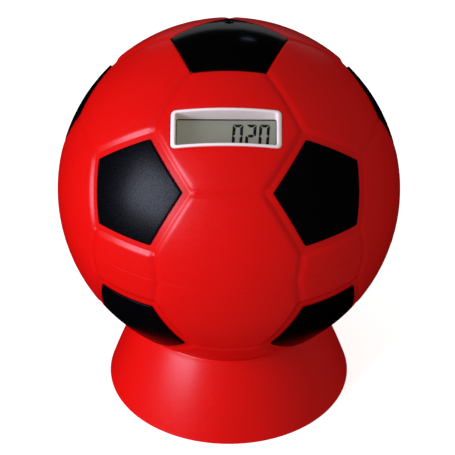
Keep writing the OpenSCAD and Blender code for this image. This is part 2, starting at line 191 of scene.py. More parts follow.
pole = Vector((0, 0, 1))
side = [towards(36 + 72 * k, side_latitude) for k in range(5)]
low_side = [towards(72 * k, -side_latitude) for k in range(5)]
turn = [(k, (k + 1) % 5, (k - 1) % 5) for k in range(5)]


def panel_net(pole_angle):
    """The half's outlines and the arcs between them, with pole_angle to the pole panel's corners."""
    tip = [towards(36 + 72 * k, 90 - pole_angle) for k in range(5)]
    net = {"tips": tip, "crown": [], "recess": [], "waist": [], "foot": [], "arcs": []}
    for k, after, before in turn:
        s, left, right = side[k], side[before], side[after]
        net["crown"].append([tip[before], tip[k], corner(s, pole), corner(s, left),
                             corner(left, s), corner(left, pole)])
        net["recess"].append([corner(s, n) for n in (pole, left, low_side[k], low_side[after], right)])
        net["waist"].append([corner(left, s), corner(s, left), corner(s, low_side[k]),
                             towards(72 * k + 36 - waist_azimuth, 0),
                             towards(72 * k - 36 + waist_azimuth, 0), corner(left, low_side[k])])
        net["foot"].append([corner(s, low_side[k]), corner(s, low_side[after]),
                            towards(36 + 72 * k + waist_azimuth, 0),
                            towards(36 + 72 * k - waist_azimuth, 0)])
        net["arcs"] += [(tip[k], corner(s, pole), "valley"),
                        (corner(s, right), corner(right, s), "valley"),
                        (corner(s, low_side[k]), towards(36 + 72 * k - waist_azimuth, 0), "valley"),
                        (corner(s, low_side[after]), towards(36 + 72 * k + waist_azimuth, 0), "valley"),
                        (tip[k], tip[after], "rim")]
        around = net["recess"][k]
        net["arcs"] += [(a, b, "recess") for a, b in zip(around, around[1:] + around[:1])]
    return net


def arc_distance(spots, a, b):
    """Distance in mm over the ball from each direction to the arc from a to b."""
    normal = a.cross(b).normalized()
    beside = np.arcsin(np.clip(np.abs(spots @ np.array(normal)), 0, 1))
    past_a = spots @ np.array(normal.cross(a)) < 0
    past_b = spots @ np.array(normal.cross(b)) > 0
    to_end = np.arccos(np.clip(np.maximum(spots @ np.array(a), spots @ np.array(b)), -1, 1))
    return ball_r * np.where(past_a | past_b, to_end, beside)


def fade(distance, width, power):
    return np.clip(1 - distance / width, 0, 1) ** power


def ease(distance, width):
    """Smooth fall from 1 at no distance to 0 at the width."""
    t = np.clip(distance / width, 0, 1)
    return 1 - t * t * (3 - 2 * t)


def sunk(ring, arcs, in_recess, has_rim):
    """How deep the moulded face lies under the full ball along a ring of directions, in mm."""
    spots = np.array(ring)
    total = (joint_line * fade(np.abs(spots[:, 2]) * ball_r, joint_reach, 1)) ** 3
    for a, b, kind in arcs:
        gap = arc_distance(spots, a, b)
        if kind == "valley":
            depth = valley_depth * ease(gap, valley_reach) + crease_depth * fade(gap, crease_reach, 1)
        elif kind == "recess":
            depth = recess_depth * ease(-gap + 0.5 if in_recess else gap + 0.5, recess_slope)
        else:
            depth = 0.4 * fade(gap, 1.0, 2) if has_rim else 0 * gap
        if kind == "recess" and in_recess:
            depth = np.where(gap < 25, depth, 0)
            total = np.maximum(total, depth ** 3)
        else:
            total = total + depth ** 3
    return np.minimum(total ** (1 / 3), recess_depth)


def outline(corners, steps=edge_steps):
    """Directions along a panel's edges, which are arcs of great circles."""
    sides = zip(corners, corners[1:] + corners[:1])
    return [a.lerp(b, i / steps).normalized() for a, b in sides for i in range(steps)]


def weave(bm, rings, closed=True):
    """Quads from each ring of points to the next, and the rings' vertices."""
    laid = [[bm.verts.new(p) for p in ring] for ring in rings]
    for one, two in zip(laid, laid[1:]):
        count = len(one)
        for i in range(count if closed else count - 1):
            j = (i + 1) % count
            bm.faces.new((one[i], one[j], two[j], two[i]))
    return laid


def cap(bm, ring, point):
    """Triangles from a ring of vertices to one point."""
    middle = bm.verts.new(point)
    for i, v in enumerate(ring):
        bm.faces.new((v, ring[(i + 1) % len(ring)], middle))


def facing(azimuth, latitude):
    """Turn whose Z looks out of the ball at a direction, with X to the right and Y up the ball."""
    out = towards(azimuth, latitude)
    right = Vector((math.cos(math.radians(azimuth)), math.sin(math.radians(azimuth)), 0))
    return Matrix((right, out.cross(right), out)).transposed()


def rounded(corners, radius, round_steps, side_steps):
    """A flat outline with its corners rounded, starting after the first corner's arc begins."""
    points = []
    count = len(corners)
    for i in range(count):
        before, here, after = (Vector(corners[j % count]) for j in (i - 1, i, i + 1))
        start = here + (before - here).normalized() * radius
        end = here + (after - here).normalized() * radius
        turns = [j / round_steps for j in range(round_steps)]
        points += [start.lerp(here, t).lerp(here.lerp(end, t), t) for t in turns]
        following = after + (here - after).normalized() * radius
        points += [end.lerp(following, j / side_steps) for j in range(side_steps)]
    return points


def box_corners(width, height):
    x, y = width / 2, height / 2
    return [(x, -y), (-x, -y), (-x, y), (x, y)]


def box_outline(width, height, radius, count):
    """Evenly spaced points round a rounded rectangle, clockwise from the middle of its right side."""
    fine = rounded(box_corners(width, height), radius, 12, 60)
    start = max(range(len(fine)), key=lambda i: (round(fine[i].x, 3), -abs(fine[i].y)))
    fine = fine[start:] + fine[:start]
    lengths = np.cumsum([0] + [(fine[(i + 1) % len(fine)] - p).length for i, p in enumerate(fine)])
    xs = [p.x for p in fine] + [fine[0].x]
    ys = [p.y for p in fine] + [fine[0].y]
    at = [lengths[-1] * i / count for i in range(count)]
    return [Vector((x, y)) for x, y in zip(np.interp(at, lengths, xs), np.interp(at, lengths, ys))]


def on_ball(turned, flat, radius):
    """Point of the sphere of that radius under a flat point in a facing() frame."""
    return turned @ Vector((flat.x, flat.y, math.sqrt(radius ** 2 - flat.x ** 2 - flat.y ** 2)))


def pressed(ring, net, recess, has_rim):
    """The ring's points on the moulded face."""
    return [d * (ball_r - s) for d, s in zip(ring, sunk(ring, net["arcs"], recess, has_rim))]


def shell_panel(bm, corners, net, has_rim, recess=False, hole=None, meets_joint=None):
    """Outer and inner face of one panel, and the walls where it has an opening or meets the joint."""
    edge_line = outline(corners)
    middle = sum(corners, Vector()).normalized()
    inset = min(d.angle(middle) for d in edge_line) * ball_r
    rows = [r for r in (recess_rows if recess else skin_rows) if r < (2.4 if hole else 0.92 * inset)]
    rings = [[d.lerp(middle, r / inset).normalized() for d in edge_line] for r in rows]
    outer = [pressed(ring, net, recess, has_rim) for ring in rings]
    inner = [[d * inner_r for d in rings[0]]]
    if hole:
        turned, flat, lip = hole
        shift = 2 * edge_steps
        flat = flat[-shift:] + flat[:-shift]
        rim_out = [on_ball(turned, f * (1 + lip * 1.3 / f.length), ball_r).normalized() for f in flat]
        for t in (0.12, 0.28, 0.46, 0.64, 0.82, 1):
            ring = [a.lerp(b, t).normalized() for a, b in zip(rings[-1], rim_out)]
            outer.append(pressed(ring, net, recess, has_rim))
        for share, drop in ((0.75, 0.06), (0.3, 0.22), (0.08, 0.5), (0, 0.9)):
            spots = [f * (1 + lip * 1.3 * share / f.length) for f in flat]
            outer.append([on_ball(turned, f, ball_r - drop * lip) for f in spots])
        inner.append([on_ball(turned, f, inner_r) for f in flat])
        weave(bm, outer + inner[-1:])
        weave(bm, inner)
    else:
        laid = weave(bm, outer)
        cap(bm, laid[-1], middle * (ball_r - sunk([middle], net["arcs"], recess, has_rim)[0]))
        inner.append([d.lerp(middle, 0.5).normalized() * inner_r for d in rings[0]])
        cap(bm, weave(bm, inner)[-1], middle * inner_r)
    if meets_joint is not None:
        first = meets_joint * edge_steps
        picks = [i % len(edge_line) for i in range(first, first + edge_steps + 1)]
        weave(bm, [[outer[0][i] for i in picks], [inner[0][i] for i in picks]], closed=False)


def solid(name, bm, turned=Matrix.Identity(3), smooth_below=38):
    """Object of a closed mesh drawn in mm round the ball's centre, placed in the part's frame."""
    bmesh.ops.remove_doubles(bm, verts=bm.verts, dist=0.002)
    bmesh.ops.recalc_face_normals(bm, faces=bm.faces)
    mesh = bpy.data.meshes.new(name)
    bm.to_mesh(mesh)
    bm.free()
    mesh.transform(Matrix.Translation(ball_centre) @ Matrix.Scale(mm, 4) @ turned.to_4x4())
    mesh.shade_smooth()
    mesh.set_sharp_from_angle(angle=math.radians(smooth_below))
    piece = bpy.data.objects.new(name, mesh)
    bpy.context.collection.objects.link(piece)
    return piece


def lathe(bm, profile, steps):
    """Closed ring of revolution about Z from a closed profile of radius and height."""
    spun = [[Vector((r * math.cos(2 * math.pi * i / steps), r * math.sin(2 * math.pi * i / steps), z))
             for i in range(steps)] for r, z in profile]
    weave(bm, spun + spun[:1])


def post(bm, turned, place, low, high, radius, bores):
    """Moulded screw post, a bored tube. A height of None follows the inside of the ball.

    Each bore is a radius and the height that it reaches, and the last one reaches low.
    """
    def circle(r, height):
        turns = np.linspace(0, 2 * math.pi, 24, endpoint=False)
        spots = [Vector((place[0] + r * math.cos(a), place[1] + r * math.sin(a))) for a in turns]
        root = [math.sqrt((inner_r + 0.8) ** 2 - s.length_squared) for s in spots]
        return [turned @ Vector((s.x, s.y, h if height is None else height)) for s, h in zip(spots, root)]
    rings = [circle(radius, low), circle(radius, high)]
    top = high
    for r, height in bores:
        rings += [circle(r, top), circle(r, height)]
        top = height
    weave(bm, rings + rings[:1])


def half_shell(name, upper):
    """One half of the ball, drawn as the upper one and mirrored for the lower."""
    net = panel_net(top_corner if upper else low_tip_angle)
    bm = bmesh.new()
    for k in range(5):
        hole = None
        if upper and k == 0:
            mouth_line = [p + Vector((display_x, 0)) for p in box_outline(49.5, 18.3, 2.6, 6 * edge_steps)]
            hole = (facing(0, hex_latitude), mouth_line, 0.25)
        if upper and k == 3:
            hole = (facing(-144, hex_latitude), box_outline(30, 3.4, 0.4, 6 * edge_steps), 0.7)
        shell_panel(bm, net["crown"][k], net, upper, hole=hole)
        shell_panel(bm, net["recess"][k], net, upper, recess=True)
        shell_panel(bm, net["waist"][k], net, upper, meets_joint=3)
        shell_panel(bm, net["foot"][k], net, upper, meets_joint=2)
    rim = outline(net["tips"])
    if upper:
        # Step that the battery cover sits on, and the opening inside it
        mouth = outline([towards(36 + 72 * k, 90 - cover_mouth_angle) for k in range(5)])
        seat = ball_r - cover_step
        weave(bm, [pressed(rim, net, False, True), [d * seat for d in rim], [d * seat for d in mouth],
                   [d * inner_r for d in mouth], [d * inner_r for d in rim]])
        # Collar inside the equator that centres the lower half
        lathe(bm, [(inner_r - 1.6, -3), (inner_r - 0.2, -3), (inner_r - 0.2, 0.2), (inner_r + 0.6, 0.4),
                   (inner_r + 0.6, 3), (inner_r - 1.6, 3)], 120)
        for k in range(5):
            at = screw_circle * towards(36 + 72 * k, 0)
            post(bm, Matrix.Identity(3), at.xy, 14, 0, boss_r, [(1.25, 14)])
        for x in (-29.5, 29.5):
            for y in (-6.5, 6.5):
                post(bm, facing(0, hex_latitude), (x + display_x, y), None, 71.5, lug_r, [(1.1, None)])
        for x, z in ((-21.5, 72), (37.5, 64)):
            post(bm, facing(-144, hex_latitude), (x, -0.8), None, z, lug_r, [(1.1, None)])
    else:
        # Collar round the coin outlet, with the seat for the stopper's flange
        aims = [math.atan2(d.y, d.x) for d in rim]

        def circle(r, z=None, sphere_r=ball_r, drop=0):
            height = z or math.sqrt(sphere_r ** 2 - r ** 2) - drop
            return [Vector((r * math.cos(a), r * math.sin(a), height)) for a in aims]

        lip = [p.normalized() for p in circle(24.8)]
        rows = [[a.lerp(b, t).normalized() for a, b in zip(rim, lip)]
                for t in (0, 0.08, 0.16, 0.26, 0.4, 0.65, 1)]
        faces = [pressed(ring, net, False, False) for ring in rows]
        seat = ball_r - 4.9
        end = seat - 5.6
        faces += [circle(24.35, drop=0.1), circle(flange_seat_r, drop=0.5), circle(flange_seat_r, seat),
                  circle(outlet_r, seat), circle(outlet_r, end), circle(26.5, end),
                  circle(26.5, sphere_r=inner_r)]
        weave(bm, faces + [[d * inner_r for d in rim]])
        for k in range(5):
            at = screw_circle * towards(36 + 72 * k, 0)
            post(bm, Matrix.Identity(3), at.xy, None, 0.4, boss_r, [(1.6, 9), (2.7, None)])
    if not upper:
        bmesh.ops.scale(bm, vec=(1, 1, -1), verts=bm.verts)
    return solid(name, bm)


def surface(name, colour, shade, roughness, spread, grain, height, blotch=18, specular=0.5, metallic=0):
    """A material whose colour drifts to a shade of it in blotches of that many mm, with roughness
    that varies by spread and a grain of that size and height in mm."""
    material = bpy.data.materials.new(name)
    material.use_nodes = True
    tree = material.node_tree
    shader = tree.nodes["Principled BSDF"]
    place = add(tree, "ShaderNodeTexCoord").outputs["Object"]
    drift = add(tree, "ShaderNodeTexNoise", inputs={"Scale": 1 / (blotch * mm), "Detail": 3},
                links={"Vector": place})
    fine = add(tree, "ShaderNodeTexNoise", inputs={"Scale": 1 / (grain * mm), "Detail": 2},
               links={"Vector": place})
    tone = add(tree, "ShaderNodeMix", {"data_type": "RGBA"}, {6: linear(colour), 7: linear(shade)},
               {0: drift.outputs["Fac"]})
    rough = add(tree, "ShaderNodeMapRange", inputs={"From Min": 0.3, "From Max": 0.7,
                "To Min": roughness - spread, "To Max": roughness + spread},
                links={"Value": fine.outputs["Fac"]})
    bump = add(tree, "ShaderNodeBump", inputs={"Strength": 1.0, "Distance": height * mm},
               links={"Height": fine.outputs["Fac"]})
    tree.links.new(tone.outputs[2], shader.inputs["Base Color"])
    tree.links.new(rough.outputs["Result"], shader.inputs["Roughness"])
    tree.links.new(bump.outputs["Normal"], shader.inputs["Normal"])
    shader.inputs["Specular IOR Level"].default_value = specular
    shader.inputs["Metallic"].default_value = metallic
    return material


def dress(piece, material):
    """Give the piece this material only."""
    piece.data.materials.clear()
    piece.data.materials.append(material)


# Semi-gloss ABS straight from a lightly polished mould: deep even red, soft-edged highlights
red_abs = surface("red_abs", "#e60200", "#de0100", 0.32, 0.04, 1.1, 0.012, specular=0.3)
upper_shell = half_shell("upper_half", True)
lower_shell = half_shell("lower_half", False)
for shell, node in ((upper_shell, "upper_shell"), (lower_shell, "lower_shell")):
    dress(shell, red_abs)
    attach(shell, "ball")
    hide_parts(node)

# ---------------------------------------------------------------- black panels
# Ten five-sided pieces of black ABS, 0.9 mm thick, glued into the recesses. Their faces carry a
# fine spark-eroded texture, and their upper edges are softly rounded.
panel_back = 1.0
panel_angle = 17.6


def pentagon(angle):
    """Corners of a flat five-sided outline, one unit out, with its corners at an angle from its middle."""
    reach = math.tan(math.radians(angle))
    turns = [math.radians(72 * i) for i in range(5)]
    return [(reach * math.sin(a), reach * math.cos(a)) for a in turns]


def to_side(angle):
    """Distance in mm from a pentagon's middle to the middle of its sides."""
    return ball_r * math.tan(math.radians(angle)) * math.cos(math.radians(36))


def skin_point(flat, radius):
    """Point at a radius of the ball, over a flat point one unit out."""
    return Vector((flat.x, flat.y, 1)).normalized() * radius


def glued_panel(name, azimuth, upper):
    line = rounded(pentagon(panel_angle), 0.008, 6, 12)
    inside = to_side(panel_angle)
    face = 0.1
    rows = [(0, panel_back), (0, 0.42), (0.03, 0.3), (0.09, 0.2), (0.19, 0.13), (0.34, face)]
    rows += [(d, face) for d in (1.2, 4, 8, 13, 17)]
    bm = bmesh.new()
    laid = weave(bm, [[skin_point(p * (1 - d / inside), ball_r - drop) for p in line] for d, drop in rows])
    cap(bm, laid[-1], Vector((0, 0, ball_r - face)))
    under = weave(bm, [[skin_point(p * share, ball_r - panel_back) for p in line] for share in (1, 0.5)])
    cap(bm, under[-1], Vector((0, 0, ball_r - panel_back)))
    turned = facing(azimuth, side_latitude)
    bmesh.ops.transform(bm, matrix=turned.to_4x4(), verts=bm.verts)
    if not upper:
        bmesh.ops.scale(bm, vec=(1, 1, -1), verts=bm.verts)
    return solid(name, bm, smooth_below=50)


# Black ABS from a spark-eroded mould, drawn at 0.7 mm so that its sparkle shows: deep black, and a
# grey-blue sheen with a grain in it where the window light falls
black_panel = surface("black_panel", "#030305", "#060609", 0.29, 0.07, 0.7, 0.035, specular=0.11)
for upper, word in ((True, "upper"), (False, "lower")):
    for k in range(5):
        panel = glued_panel(f"{word}_black_panel_{k + 1}", 36 + 72 * k, upper)
        dress(panel, black_panel)
        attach(panel, "ball")
        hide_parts(f"{word}_panel_{k + 1}")

# ---------------------------------------------------------------- battery cover
# The top panel is a lid of black ABS that fills the whole pentagon. It sits on a step of the upper
# shell, a skirt under it centres it, and one screw in a deep well near its rear corner holds it.
cover_t = 1.4
cover_angle = 20.35
skirt_angles = (16.9, 15.5)
skirt_end = 4.2
screw_hole_r = 1.35
screw_boss_r = 3.7
well_y = 19
well_r = 2.1
well_floor = ball_r - 6.5


def battery_lid():
    line = rounded(pentagon(cover_angle), 0.010, 6, 16)
    inside = to_side(cover_angle)
    well = Vector((0, well_y / math.sqrt(ball_r ** 2 - well_y ** 2)))
    turns = [math.atan2(p.y - well.y, p.x - well.x) for p in line]

    def circle(radius, height, curved=False):
        """Circle round the screw, level or on a ball of that radius."""
        spots = [Vector((radius * math.cos(a), well_y + radius * math.sin(a))) for a in turns]
        return [Vector((s.x, s.y, math.sqrt(height ** 2 - s.length_squared) if curved else height))
                for s in spots]

    edge_rows = ((0, cover_t), (0, 0.45), (0.06, 0.26), (0.2, 0.12), (0.45, 0.03), (0.8, 0), (1.6, 0))
    rows = [[skin_point(p * (1 - d / inside), ball_r - drop) for p in line] for d, drop in edge_rows]
    lip = circle(well_r + 0.06, ball_r, True)
    rows += [[a.lerp(b, t).normalized() * ball_r for a, b in zip(rows[-1], lip)]
             for t in (0.12, 0.25, 0.4, 0.55, 0.7, 0.85, 1)]
    rows += [circle(well_r + 0.02, ball_r - 0.06, True), circle(well_r, ball_r - 0.35, True),
             circle(well_r, well_floor), circle(screw_hole_r, well_floor),
             circle(screw_hole_r, well_floor - 1.4), circle(screw_boss_r, well_floor - 1.4),
             circle(screw_boss_r, ball_r - cover_t, True)]
    bm = bmesh.new()
    weave(bm, rows + rows[:1])
    # Skirt that centres the lid in the opening
    outside, within = [rounded(pentagon(a), 0.012, 6, 16) for a in skirt_angles]
    loop = [[skin_point(p, ball_r - d) for p in side_line] for side_line, d in
            ((outside, 0.9), (outside, skirt_end), (within, skirt_end), (within, 0.9))]
    weave(bm, loop + loop[:1])
    return solid("battery_lid", bm)


# Black ABS from a better polished mould than the side panels: same black, tighter reflections
black_cover = surface("black_cover", "#030303", "#050506", 0.14, 0.03, 0.8, 0.004)
lid = battery_lid()
dress(lid, black_cover)
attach(lid, "battery_cover")
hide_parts("battery_cover")

# ---------------------------------------------------------------- display bezel
# White ABS frame pushed through the front red panel from inside. Its lips are rounded and stand
# 0.4 mm proud, its walls run 11 mm down to the window, and a flange holds it behind the shell.
view_z = ball_r - 11
display = facing(0, hex_latitude).to_4x4() @ Matrix.Translation((display_x, 0, 0))


def frame_ring(width, height, radius, level=None, drop=0):
    """A ring of the bezel: at a flat level, or on its proud face with a drop under it."""
    spots = rounded(box_corners(width, height), radius, 10, 30)
    if level is not None:
        return [Vector((p.x, p.y, level)) for p in spots]
    proud = (ball_r + 0.4) ** 2
    return [Vector((p.x, p.y, math.sqrt(proud - (p.x + display_x) ** 2 - p.y ** 2) - drop)) for p in spots]


def bezel():
    back = view_z - 1.2
    rings = [frame_ring(66, 21, 4, view_z), frame_ring(66, 21, 4, back), frame_ring(47.4, 17.2, 0.8, back),
             frame_ring(47.4, 17.2, 0.8, view_z), frame_ring(44.8, 15.2, 1.2, view_z)]
    # From the opening over the rounded lip to the outside: width, height, corner radius, drop
    lip = ((44.8, 15.2, 1.2, 2.0), (44.84, 15.24, 1.2, 0.8), (45.05, 15.4, 1.3, 0.36),
           (45.5, 15.7, 1.4, 0.12), (46.1, 16.1, 1.6, 0.01), (46.9, 16.6, 1.8, 0), (47.8, 17.2, 2.1, 0.03),
           (48.5, 17.6, 2.3, 0.17), (48.95, 17.85, 2.4, 0.42), (49.2, 18, 2.5, 0.9), (49.2, 18, 2.5, 2))
    rings += [frame_ring(width, height, radius, drop=drop) for width, height, radius, drop in lip]
    rings.append(frame_ring(49.2, 18, 2.5, view_z))
    bm = bmesh.new()
    weave(bm, rings + rings[:1])
    return solid("bezel", bm, display)


# Satin white ABS with a trace of flow marks. Its faint warm pink tint is painted: it stands in for the light
# that the red ball throws on it
white_abs = surface("white_abs", "#fdf1ec", "#f7ebe6", 0.38, 0.05, 0.9, 0.006)
bezel_piece = bezel()
dress(bezel_piece, white_abs)
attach(bezel_piece, "ball")
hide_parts("display_bezel")

# ---------------------------------------------------------------- display glass and digits
# A clear acrylic window over a reflective liquid crystal cell. The digits are the cell's dark
# segments, in three places at the right, leaning a little, as the counting module draws them.
lcd_face = view_z - 1.2


def slab(name, width, height, radius, low, high, soft):
    """A flat plate with rounded corners and softened edges."""
    bm = bmesh.new()
    levels = ((soft, low), (0, low + soft), (0, high - soft), (soft, high))
    rings = [frame_ring(width - 2 * cut, height - 2 * cut, radius, level) for cut, level in levels]
    laid = weave(bm, rings)
    bm.faces.new(laid[0])
    bm.faces.new(laid[-1][::-1])
    return solid(name, bm, display)


# Cast acrylic with hair-fine polishing haze: nearly clear, it only darkens the cell a little and
# adds a weak reflection
clear_acrylic = bpy.data.materials.new("clear_acrylic")
clear_acrylic.use_nodes = True
acrylic_tree = clear_acrylic.node_tree
acrylic = acrylic_tree.nodes["Principled BSDF"]
acrylic.inputs["Base Color"].default_value = linear("#3a3f3d")
acrylic.inputs["Alpha"].default_value = 0.1
acrylic.inputs["IOR"].default_value = 1.49
acrylic_place = add(acrylic_tree, "ShaderNodeTexCoord")
haze = add(acrylic_tree, "ShaderNodeTexNoise", inputs={"Scale": 1 / (2.5 * mm), "Detail": 4},
           links={"Vector": acrylic_place.outputs["Object"]})
haze_range = add(acrylic_tree, "ShaderNodeMapRange", inputs={"To Min": 0.0, "To Max": 0.06},
                 links={"Value": haze.outputs["Fac"]})
acrylic_tree.links.new(haze_range.outputs["Result"], acrylic.inputs["Roughness"])
window = slab("display_window_clear", 47.2, 17, 0.7, lcd_face + 0.25, view_z, 0.1)
window.visible_shadow = False
dress(window, clear_acrylic)
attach(window, "ball")
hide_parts("display_window")

# Twisted nematic cell behind a polarising film: grey-green, slightly metallic, finely mottled, with a
# painted glow that lifts the shade the bezel walls cast on it
lcd_cell = surface("lcd_cell", "#6d7066", "#676a60", 0.3, 0.06, 0.5, 0.002, blotch=9, specular=0.3)
cell_shader = lcd_cell.node_tree.nodes["Principled BSDF"]
# Painted glow: the cell gives off faint light of its own, though it is no lamp
cell_shader.inputs["Emission Color"].default_value = linear("#a3a290")
cell_shader.inputs["Emission Strength"].default_value = 0.43
dress(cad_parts["lcd_panel"], lcd_cell)
# The driven segments: polarised black with a hint of blue
segment_black = surface("lcd_segment", "#050506", "#09090b", 0.4, 0.05, 0.6, 0.002, specular=0.1)
digit_w, digit_h, stroke, lean = 4.75, 11, 1.35, 0.06
first_x, pitch, digit_y = 4.95, 5.95, 0.05


def segments_of(digit):
    """Outlines of the lit bars of a seven-segment digit, with gaps between them."""
    lit = {0: "abcdef", 2: "abged"}[digit]
    x, y, s = digit_w / 2, digit_h / 2, stroke
    g = 0.26
    bars = {
        "a": [(-x + g, y), (x - g, y), (x - s - g, y - s), (-x + s + g, y - s)],
        "d": [(-x + s + g, -y + s), (x - s - g, -y + s), (x - g, -y), (-x + g, -y)],
        "g": [(-x + s / 2 + g, 0), (-x + s + g, s / 2), (x - s - g, s / 2), (x - s / 2 - g, 0),
              (x - s - g, -s / 2), (-x + s + g, -s / 2)],
        "b": [(x, y - g), (x, g / 2), (x - s / 2, g / 2), (x - s, s / 2 + g), (x - s, y - s - g)],
        "c": [(x - s, -y + s + g), (x - s, -s / 2 - g), (x - s / 2, -g / 2), (x, -g / 2), (x, -y + g)],
        "f": [(-x + s, y - s - g), (-x + s, s / 2 + g), (-x + s / 2, g / 2), (-x, g / 2), (-x, y - g)],
        "e": [(-x, -y + g), (-x, -g / 2), (-x + s / 2, -g / 2), (-x + s, -s / 2 - g), (-x + s, -y + s + g)]}
    return [bars[name] for name in lit]


def digits():
    bm = bmesh.new()
    for place, digit in enumerate((0, 2, 0)):
        for bar in segments_of(digit):
            spots = [Vector((first_x + pitch * place + px + lean * py, digit_y + py)) for px, py in bar]
            low = [bm.verts.new((s.x, s.y, lcd_face)) for s in spots]
            high = [bm.verts.new((s.x, s.y, lcd_face + 0.06)) for s in spots]
            bm.faces.new(low)
            bm.faces.new(high[::-1])
            for i in range(len(low)):
                j = (i + 1) % len(low)
                bm.faces.new((low[i], low[j], high[j], high[i]))
    return solid("lcd_digits", bm, display)


# A thin dark grey ring round the edge of the cell, which shows as a thin dark line inside the bezel
bm = bmesh.new()
film_top = lcd_face + 0.05
border = [frame_ring(45.6, 16.6, 0.4, lcd_face), frame_ring(45.6, 16.6, 0.4, film_top),
          frame_ring(44.3, 14.9, 0.4, film_top), frame_ring(44.3, 14.9, 0.4, lcd_face)]
weave(bm, border + border[:1])
film_border = solid("film_border", bm, display)
dress(film_border, surface("cell_edge_grey", "#2b2c2a", "#323330", 0.4, 0.05, 0.6, 0.002, specular=0.2))
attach(film_border, "ball")

count_digits = digits()
dress(count_digits, segment_black)
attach(count_digits, "ball")

# ---------------------------------------------------------------- stand
# A flared ring of the same red ABS, moulded in one piece with a rolled rim that the ball rests in
# and a narrow flange inside its foot.
stand_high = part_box("stand")[1]
foot_r = stand_high.x / mm
rim_roll = 1.2
rise = stand_high.z / mm - rim_roll
rim_x = 43.8
flare_top = 45
skirt_t = 2.4
flange_w = 4.5
bulge = 0.9


def skirt(t, inset):
    """Radius and height at a share of the way up the flare, inset from its outside."""
    lean_angle = math.atan2(foot_r - flare_top, rise)
    push = 4 * bulge * t * (1 - t) - inset
    return (foot_r + (flare_top - foot_r) * t + push * math.cos(lean_angle),
            rise * t + push * math.sin(lean_angle))


def ring_stand():
    profile = [(foot_r - 0.55, 0), (foot_r - 0.2, 0.08), (foot_r - 0.05, 0.35)]
    profile += [skirt(t / 40, 0) for t in range(1, 40)]
    turns = [math.radians(d) for d in range(15, 181, 15)]
    profile += [(rim_x + rim_roll * math.cos(a), rise + rim_roll * math.sin(a)) for a in turns]
    profile += [skirt(t / 40, skirt_t) for t in range(38, 2, -2)]
    lip_r = foot_r - flange_w
    profile += [(lip_r + 1.2, 2.0), (lip_r + 0.2, 1.9), (lip_r, 1.6), (lip_r, 0.2), (lip_r + 0.2, 0)]
    bm = bmesh.new()
    lathe(bm, profile, 192)
    bmesh.ops.translate(bm, vec=(0, 0, -ball_centre.z / mm), verts=bm.verts)
    return solid("ring_stand", bm)


stand_piece = ring_stand()
dress(stand_piece, red_abs)
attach(stand_piece, "base")
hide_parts("stand")

# ---------------------------------------------------------------- display carrier and boards
# Behind the window a white ABS carrier clamps the cell, a zebra strip of layered silicone joins the
# cell to the counting board, and four screws hold the stack. The second board sits on the coin chute.
dress(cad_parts["display_carrier"], white_abs)

# Scale at which a wave texture has one band a metre
wave_turn = 0.314

# Silicone in thin layers, pale pink with carbon-black conductors every 0.36 mm
zebra_rubber = surface("zebra_rubber", "#d8a0a0", "#cf9696", 0.55, 0.05, 0.4, 0.004)
zebra_tree = zebra_rubber.node_tree
zebra_place = add(zebra_tree, "ShaderNodeTexCoord")
layers = add(zebra_tree, "ShaderNodeTexWave", {"wave_type": "BANDS", "bands_direction": "X"},
             {"Scale": wave_turn / (0.36 * mm)}, {"Vector": zebra_place.outputs["Object"]})
cut = add(zebra_tree, "ShaderNodeMath", {"operation": "GREATER_THAN"}, {1: 0.55},
          {0: layers.outputs["Fac"]})
zebra_shader = zebra_tree.nodes["Principled BSDF"]
pink = zebra_shader.inputs["Base Color"].links[0].from_socket
banded = add(zebra_tree, "ShaderNodeMix", {"data_type": "RGBA"}, {7: linear("#1a1a1c")},
             {0: cut.outputs["Value"], 6: pink})
zebra_tree.links.new(banded.outputs[2], zebra_shader.inputs["Base Color"])
dress(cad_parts["contact_strip"], zebra_rubber)

# Green solder mask, a little glossy, with copper tracks 1.6 mm apart showing paler through it
circuit_board = surface("circuit_board", "#1c5a30", "#174d29", 0.3, 0.06, 0.5, 0.004)
board_tree = circuit_board.node_tree
board_place = add(board_tree, "ShaderNodeTexCoord")
tracks = add(board_tree, "ShaderNodeTexWave", {"wave_type": "BANDS", "bands_direction": "DIAGONAL"},
             {"Scale": wave_turn / (1.6 * mm), "Distortion": 2.5, "Detail Scale": 0.6},
             {"Vector": board_place.outputs["Object"]})
track = add(board_tree, "ShaderNodeMath", {"operation": "GREATER_THAN"}, {1: 0.72},
            {0: tracks.outputs["Fac"]})
board_shader = board_tree.nodes["Principled BSDF"]
mask = board_shader.inputs["Base Color"].links[0].from_socket
tracked = add(board_tree, "ShaderNodeMix", {"data_type": "RGBA"}, {7: linear("#3f8a4a")},
              {0: track.outputs["Value"], 6: mask})
board_tree.links.new(tracked.outputs[2], board_shader.inputs["Base Color"])
for node in ("main_board", "sensor_board"):
    dress(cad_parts[node], circuit_board)

# ---------------------------------------------------------------- battery tray and leads
# A black ABS tray under the lid holds two button cells between stamped contacts, beside the reset
# switch and its button. Two soldered pairs of leads run to the boards.
# Matt black ABS, a shade greyer than the panels
tray_abs = surface("tray_abs", "#1b1b1d", "#222224", 0.5, 0.08, 0.6, 0.02)
for node in ("battery_tray", "reset_switch"):
    dress(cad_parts[node], tray_abs)
# Nickel over steel: bright and slightly warm, with fine rolling marks. The sky here only shades, so
# part of each metal is drawn matt, or it would have nothing to reflect and look black
nickel_plate = surface("nickel_plate", "#c9c7c0", "#bdbbb3", 0.24, 0.06, 0.3, 0.003, blotch=4, metallic=0.6)
for node in ("cell_contacts", "button_cell_1", "button_cell_2", "lever_spring"):
    dress(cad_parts[node], nickel_plate)
# Soft PVC insulation: red battery leads, grey sensor leads, both with a dull waxy shine
red_lead = surface("red_lead", "#b3201a", "#a31c17", 0.45, 0.06, 0.8, 0.01, blotch=6)
grey_lead = surface("grey_lead", "#4a4b4e", "#424346", 0.45, 0.06, 0.8, 0.01, blotch=6)
dress(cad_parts["battery_wires"], red_lead)
dress(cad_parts["sensor_wires"], grey_lead)
